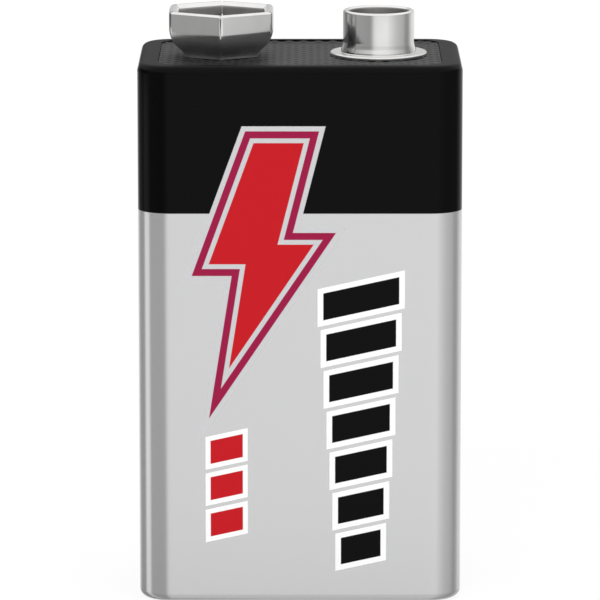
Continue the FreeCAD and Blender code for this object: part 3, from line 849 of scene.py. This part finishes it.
# %% Case: helpers for plain shapes
EDGE_BLUR = 0.025


def beyond(tree, across, up, corners):
    """How far a point lies outside a shape with straight sides, in millimetres."""
    far = None
    for (x1, z1), (x2, z2) in zip(corners, corners[1:] + corners[:1]):
        length = math.hypot(x2 - x1, z2 - z1)
        out_x, out_z = (z2 - z1) / length, (x1 - x2) / length
        gap = maths(tree, "MULTIPLY_ADD", across, out_x, -out_x * x1 - out_z * z1)
        gap = maths(tree, "MULTIPLY_ADD", up, out_z, gap)
        far = gap if far is None else maths(tree, "MAXIMUM", far, gap)
    return far


def within(tree, far, reach=0.0):
    """1 inside a shape that is grown by a reach, 0 outside."""
    return spread(tree, far, reach + EDGE_BLUR, reach - EDGE_BLUR)


def bars(tree, across, up, middle, bottom, count, pitch, tall, narrow, wider, slant):
    """How far outside the nearest of some slanted bars a point lies."""
    from_middle = maths(tree, "SUBTRACT", across, middle)
    climbed = maths(tree, "MULTIPLY_ADD", from_middle, -slant, up)
    step = maths(tree, "DIVIDE", maths(tree, "SUBTRACT", climbed, bottom), pitch)
    number = maths(tree, "MINIMUM", maths(tree, "MAXIMUM", maths(tree, "FLOOR", step), 0), count - 1)
    off_centre = maths(tree, "ABSOLUTE", maths(tree, "SUBTRACT", maths(tree, "SUBTRACT", step, number), 0.5))
    off_end = maths(tree, "MULTIPLY_ADD", off_centre, pitch, -tall / 2)
    half_width = maths(tree, "MULTIPLY_ADD", number, wider, narrow / 2)
    off_side = maths(tree, "SUBTRACT", maths(tree, "ABSOLUTE", from_middle), half_width)
    return maths(tree, "MAXIMUM", off_side, off_end)


print("an edge of the print blurs over", 2 * EDGE_BLUR, "mm")

# %% Case: fields of black and silver
# The tree divides by MM first, so places and sizes on the front are in plain millimetres.
BLACK_FROM = 31.90
FRONT_FROM = (-7 * MM, -7.2 * MM)

case_print, tree = new_tree("printed_case")
place, (x, y, z) = place_of(tree)
across = maths(tree, "DIVIDE", x, MM)
up = maths(tree, "DIVIDE", z, MM)
on_front = spread(tree, y, *FRONT_FROM)
black_top = spread(tree, up, BLACK_FROM - EDGE_BLUR, BLACK_FROM + EDGE_BLUR)
colour = blend(tree, black_top, SILVER, BLACK)
metal = maths(tree, "SUBTRACT", 1.0, black_top)
print("black from", BLACK_FROM, "mm up")

# %% Case: the design on the front
BOLT_MIDDLE = (-3.1, 28.6)
BOLT_TOP = [(-0.6, 9.0), (-4.2, -0.8), (0.9, -0.8), (3.4, 9.0)]
BOLT_TIP = [(-2.6, -9.3), (4.2, 0.8), (-1.0, 0.8)]
CHARGE_BARS = {
    "middle": 4.9, "bottom": 2.9, "count": 7, "pitch": 3.4,
    "tall": 2.2, "narrow": 3.2, "wider": 0.24, "slant": 0.22,
}
SMALL_BARS = {
    "middle": -5.9, "bottom": 5.2, "count": 3, "pitch": 3.0,
    "tall": 1.9, "narrow": 2.6, "wider": 0.0, "slant": 0.22,
}

shapes = [[(BOLT_MIDDLE[0] + a, BOLT_MIDDLE[1] + b) for a, b in part] for part in (BOLT_TOP, BOLT_TIP)]
bolt = maths(tree, "MINIMUM", *(beyond(tree, across, up, shape) for shape in shapes))
charge = bars(tree, across, up, **CHARGE_BARS)
small = bars(tree, across, up, **SMALL_BARS)
# Each layer is a shape, grown by its outline, and its ink. A later one covers those before it.
layers = [
    (within(tree, bolt, 1.35), PALE),
    (within(tree, bolt, 0.95), CRIMSON),
    (within(tree, bolt, 0.38), PALE),
    (within(tree, bolt), RED),
    (within(tree, charge, 0.45), WHITE),
    (within(tree, charge), INK_BLACK),
    (within(tree, small, 0.40), WHITE),
    (within(tree, small), RED),
]
for layer, tint in layers:
    shown = maths(tree, "MULTIPLY", layer, on_front)
    colour = blend(tree, shown, colour, tint)
    metal = maths(tree, "MULTIPLY", metal, maths(tree, "SUBTRACT", 1.0, shown))
print("print of", len(layers), "layers")

# %% Case: finish
LIP_FROM = (43.35, 43.55)
FILM_ROUGH = 0.085
PATCHES_ROUGHER = 0.03
SILVER_ROUGHER = 0.06
LIP_ROUGHER = 0.40
SILVER_METAL = 0.8
FILM_SHINE = 0.075

grain = noise(tree, place, 0.35 * MM, 4.0)
patches = noise(tree, place, 9 * MM, 2.0)
on_lip = maths(tree, "MULTIPLY", black_top, spread(tree, up, *LIP_FROM))
roughness = maths(tree, "MULTIPLY_ADD", patches, PATCHES_ROUGHER, FILM_ROUGH)
roughness = maths(tree, "ADD", roughness, maths(tree, "MULTIPLY", metal, SILVER_ROUGHER))
roughness = maths(tree, "ADD", roughness, maths(tree, "MULTIPLY", on_lip, LIP_ROUGHER))
film = add_node(tree, "ShaderNodeBump", {"Height": grain, "Distance": 0.0012 * MM, "Strength": 0.5})
paint = add_node(
    tree,
    "ShaderNodeBsdfPrincipled",
    {
        "Base Color": colour,
        "Metallic": maths(tree, "MULTIPLY", metal, SILVER_METAL),
        "Roughness": roughness,
        "Specular IOR Level": FILM_SHINE,
        "Normal": film.outputs[0],
    },
)
finish(tree, paint)


def coat(piece, *materials):
    """Gives a piece its materials, in place of any that it came with."""
    piece.data.materials.clear()
    for material in materials:
        piece.data.materials.append(material)


coat(case, case_print)
print("the case wears", case_print.name)

# %% [markdown]
# Both plates are black plastic. The mould leaves a fine satin grain on it, and handling a few paler
# rubs. The hollow cells of the panel are painted darker than the raised ones, as painted shade in
# the hollows, so the shade of the embossed plate follows the same wave as its cutter. One recipe
# makes both, with and without that wave.

# %% Plastic
PLASTIC_DARK = (0.037, 0.037, 0.038, 1.0)
PLASTIC_RUBBED = (0.050, 0.050, 0.051, 1.0)
PLASTIC_ROUGH = 0.44
PLASTIC_SHINE = 0.15
GRAIN_ROUGHER = 0.12
RUBS_FROM = (0.5, 0.75)
WAVE_SOFT = 0.7
HOLLOW_SHADE_FROM = (PLATE_TOP - 0.16 * MM, PLATE_TOP - 0.10 * MM)


def plastic_recipe(name, hollow_shade_amount):
    """Black satin plastic; the last argument is how much darker the hollow cells are painted, as painted
    shade.
    """
    material, tree = new_tree(name)
    place, (x, y, z) = place_of(tree)
    grain = noise(tree, place, 0.12 * MM, 4.0)
    rubs = spread(tree, noise(tree, place, 2.5 * MM, 5.0), *RUBS_FROM)
    across = maths(tree, "SINE", maths(tree, "MULTIPLY", x, math.pi / CELL_ACROSS))
    along = maths(tree, "SINE", maths(tree, "MULTIPLY", y, math.pi / CELL_ALONG))
    wave = maths(tree, "MULTIPLY", across, along)
    # Painted shade: the hollow cells of the panel are darkened towards black, on the panel's top only.
    hollow_shade = spread(tree, wave, -WAVE_SOFT, WAVE_SOFT, 0.0, hollow_shade_amount)
    hollow_shade = maths(tree, "MULTIPLY", hollow_shade, spread(tree, z, *HOLLOW_SHADE_FROM))
    shade = blend(tree, rubs, PLASTIC_DARK, PLASTIC_RUBBED)
    shade = blend(tree, hollow_shade, shade, grey(0.0))
    satin = add_node(tree, "ShaderNodeBump", {"Height": grain, "Distance": 0.004 * MM, "Strength": 0.6})
    plastic = add_node(
        tree,
        "ShaderNodeBsdfPrincipled",
        {
            "Base Color": shade,
            "Roughness": maths(tree, "MULTIPLY_ADD", grain, GRAIN_ROUGHER, PLASTIC_ROUGH),
            "Specular IOR Level": PLASTIC_SHINE,
            "Normal": satin.outputs[0],
        },
    )
    finish(tree, plastic)
    return material


embossed_plastic = plastic_recipe("embossed_plastic", hollow_shade_amount=0.6)
plate_plastic = plastic_recipe("plate_plastic", hollow_shade_amount=0.0)
coat(plate, embossed_plastic)
print("the top plate wears", embossed_plastic.name)

# %% [markdown]
# The terminals are nickel on steel, nearly a mirror: most of what shows on them is the studio, so
# their own recipe stays simple, a very fine grain along the sheet and slight unevenness. The drawn
# bowl of the socket is duller than its petals. The insides of both terminals are rougher still, and
# their nickel is painted much darker, a painted shade for the hollows.

# %% Metals: recipe
PATCHES_FROM = (0.35, 0.65)
PATCH_DARKER = 0.94


def metal_recipe(name, tint, roughness, grain_size, grain_depth, stretch, duller=None):
    """Bare or plated metal with grain along the sheet, soft patches, and perhaps a duller foot."""
    material, tree = new_tree(name)
    place, (_, _, z) = place_of(tree)
    lines = noise(tree, place, grain_size, 4.0, stretch)
    patches = noise(tree, place, 3 * MM, 3.0)
    darker = tuple(channel * PATCH_DARKER for channel in tint[:3]) + (1.0,)
    drawn = add_node(tree, "ShaderNodeBump", {"Height": lines, "Distance": grain_depth, "Strength": 0.5})
    uneven = maths(tree, "MULTIPLY_ADD", patches, roughness * 0.5, roughness * 0.75)
    uneven = maths(tree, "ADD", uneven, maths(tree, "MULTIPLY", lines, roughness * 0.3))
    if duller:
        below, above, extra = duller
        uneven = maths(tree, "ADD", uneven, spread(tree, z, below, above, extra, 0.0))
    sheet = add_node(
        tree,
        "ShaderNodeBsdfPrincipled",
        {
            "Base Color": blend(tree, spread(tree, patches, *PATCHES_FROM), darker, tint),
            "Metallic": 1.0,
            "Roughness": uneven,
            "Normal": drawn.outputs[0],
        },
    )
    finish(tree, sheet)
    return material


print("metals can be mixed")

# %% Metals: one for each use
PLATED = ((0.79, 0.785, 0.78, 1.0), 0.12, 0.08 * MM, 0.0006 * MM, (6, 6, 1))
BOWL_DULLER = (SOCKET_LOW.z + SHOULDER, SOCKET_LOW.z + SHOULDER + 1.0 * MM, 0.26)
nickel = metal_recipe("nickel_plate", *PLATED)
socket_nickel = metal_recipe("socket_nickel", *PLATED, duller=BOWL_DULLER)
OTHER_METALS = {
    # The inside nickel has about half the plating's tint, a painted shade for the hollows, and is rougher.
    "nickel_inside_shaded": ((0.40, 0.395, 0.39, 1.0), 0.35, 0.08 * MM, 0.001 * MM, (6, 6, 1)),
    "rivet_steel": ((0.60, 0.595, 0.58, 1.0), 0.28, 0.10 * MM, 0.001 * MM, (1, 1, 1)),
    "strap_nickel": ((0.66, 0.645, 0.61, 1.0), 0.24, 0.10 * MM, 0.001 * MM, (8, 1, 1)),
}
shaded_inside_nickel, rivet_steel, strap_nickel = (metal_recipe(name, *mix) for name, mix in OTHER_METALS.items())
print("metals:", nickel.name, socket_nickel.name, *OTHER_METALS)

# %% Terminals: outside and inside
NEAR_FLOOR = 1 * MM
LOOKS_UP = 0.4
LOOKS_IN = 0.45


def faces_in(face, centre):
    """True for a face of the inside, which looks towards the axis, or up from the floor."""
    outward = face.center - centre
    if outward.z < NEAR_FLOOR and face.normal.z > 0:
        return outward.xy.length < STUD_BORE
    return face.normal.z < LOOKS_UP and face.normal.xy.dot(outward.xy) < -LOOKS_IN * outward.xy.length


# Faces of the inside get the darker nickel, which paints the shade of the hollows.
for terminal, centre, outside in ((stud, STUD_CENTRE, nickel), (socket, SOCKET_CENTRE, socket_nickel)):
    coat(terminal, outside, shaded_inside_nickel)
    for face in terminal.data.polygons:
        face.material_index = int(faces_in(face, centre))
    inside = sum(face.material_index for face in terminal.data.polygons)
    print(terminal.name, "has", inside, "faces inside")

# %% [markdown]
# Inside the case lie six round cells in green film, paper round them, card above and below, and
# thin straps that join them in a row. They are the model's own pieces, so they only get a finish.

# %% Paper and card
def sheet_recipe(name, tint, other, roughness, fibre, depth):
    """Paper or card: soft fibres in two close colours."""
    material, tree = new_tree(name)
    place, _ = place_of(tree)
    fibres = noise(tree, place, fibre, 6.0, (3, 1, 1))
    clouds = noise(tree, place, fibre * 12, 3.0)
    tone = maths(tree, "MULTIPLY_ADD", fibres, 0.5, maths(tree, "MULTIPLY", clouds, 0.5))
    felt = add_node(tree, "ShaderNodeBump", {"Height": fibres, "Distance": depth, "Strength": 0.7})
    sheet = add_node(
        tree,
        "ShaderNodeBsdfPrincipled",
        {
            "Base Color": blend(tree, spread(tree, tone, *PATCHES_FROM), tint, other),
            "Roughness": maths(tree, "MULTIPLY_ADD", fibres, 0.1, roughness),
            "Specular IOR Level": 0.25,
            "Normal": felt.outputs[0],
        },
    )
    finish(tree, sheet)
    return material


card_board = sheet_recipe("card_board", ink(150, 118, 82), ink(176, 146, 108), 0.85, 0.25 * MM, 0.02 * MM)
liner_paper = sheet_recipe("liner_paper", ink(196, 186, 166), ink(212, 204, 188), 0.8, 0.2 * MM, 0.01 * MM)
print("sheets:", card_board.name, liner_paper.name)

# %% Cells in film
FILM_BELOW_TOP = 1.4 * MM
FILM_EDGE = 0.02 * MM
FILM_GREEN = ink(34, 78, 58)
BARE_CAN = (0.6, 0.59, 0.57, 1.0)

cell_film, tree = new_tree("cell_film")
place, (_, _, z) = place_of(tree)
film_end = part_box("cell_1")[1].z - FILM_BELOW_TOP
bare = spread(tree, z, film_end - FILM_EDGE, film_end + FILM_EDGE)
wrinkles = noise(tree, place, 0.8 * MM, 3.0, (1, 1, 6))
shrunk = add_node(tree, "ShaderNodeBump", {"Height": wrinkles, "Distance": 0.03 * MM, "Strength": 0.6})
film = add_node(
    tree,
    "ShaderNodeBsdfPrincipled",
    {
        "Base Color": blend(tree, bare, FILM_GREEN, BARE_CAN),
        "Metallic": bare,
        "Roughness": maths(tree, "MULTIPLY_ADD", wrinkles, 0.15, 0.2),
        "Normal": shrunk.outputs[0],
    },
)
finish(tree, film)
print("film up to", round(film_end / MM, 2), "mm")


# %% Dress the model's own pieces
def dress(material, *names):
    """Gives pieces of the model their finish."""
    for name in names:
        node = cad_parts[name]
        if not node.material_slots:
            node.data.materials.append(material)
        for slot in node.material_slots:
            slot.material = material


dress(plate_plastic, "bottom_plate")
dress(rivet_steel, "socket_rivet", "stud_rivet")
dress(card_board, "top_card", "bottom_card")
dress(liner_paper, "liner")
dress(strap_nickel, "top_strap_1", "top_strap_2", "bottom_strap_1", "bottom_strap_2", "bottom_strap_3")
dress(strap_nickel, "negative_lead", "positive_lead")
dress(cell_film, *(f"cell_{number}" for number in range(1, 7)))
print("inner pieces and bottom plate dressed")

# %% [markdown]
# Each new piece stands for one piece of the model, and rides on the battery's only body.

# %% Hand over
for piece, node, slot in (
    (case, "jacket", "printed_jacket"),
    (plate, "top_plate", "top_plate"),
    (stud, "stud_terminal", "stud_terminal"),
    (socket, "socket_terminal", "socket_terminal"),
):
    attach(piece, "root")
    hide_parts(node)
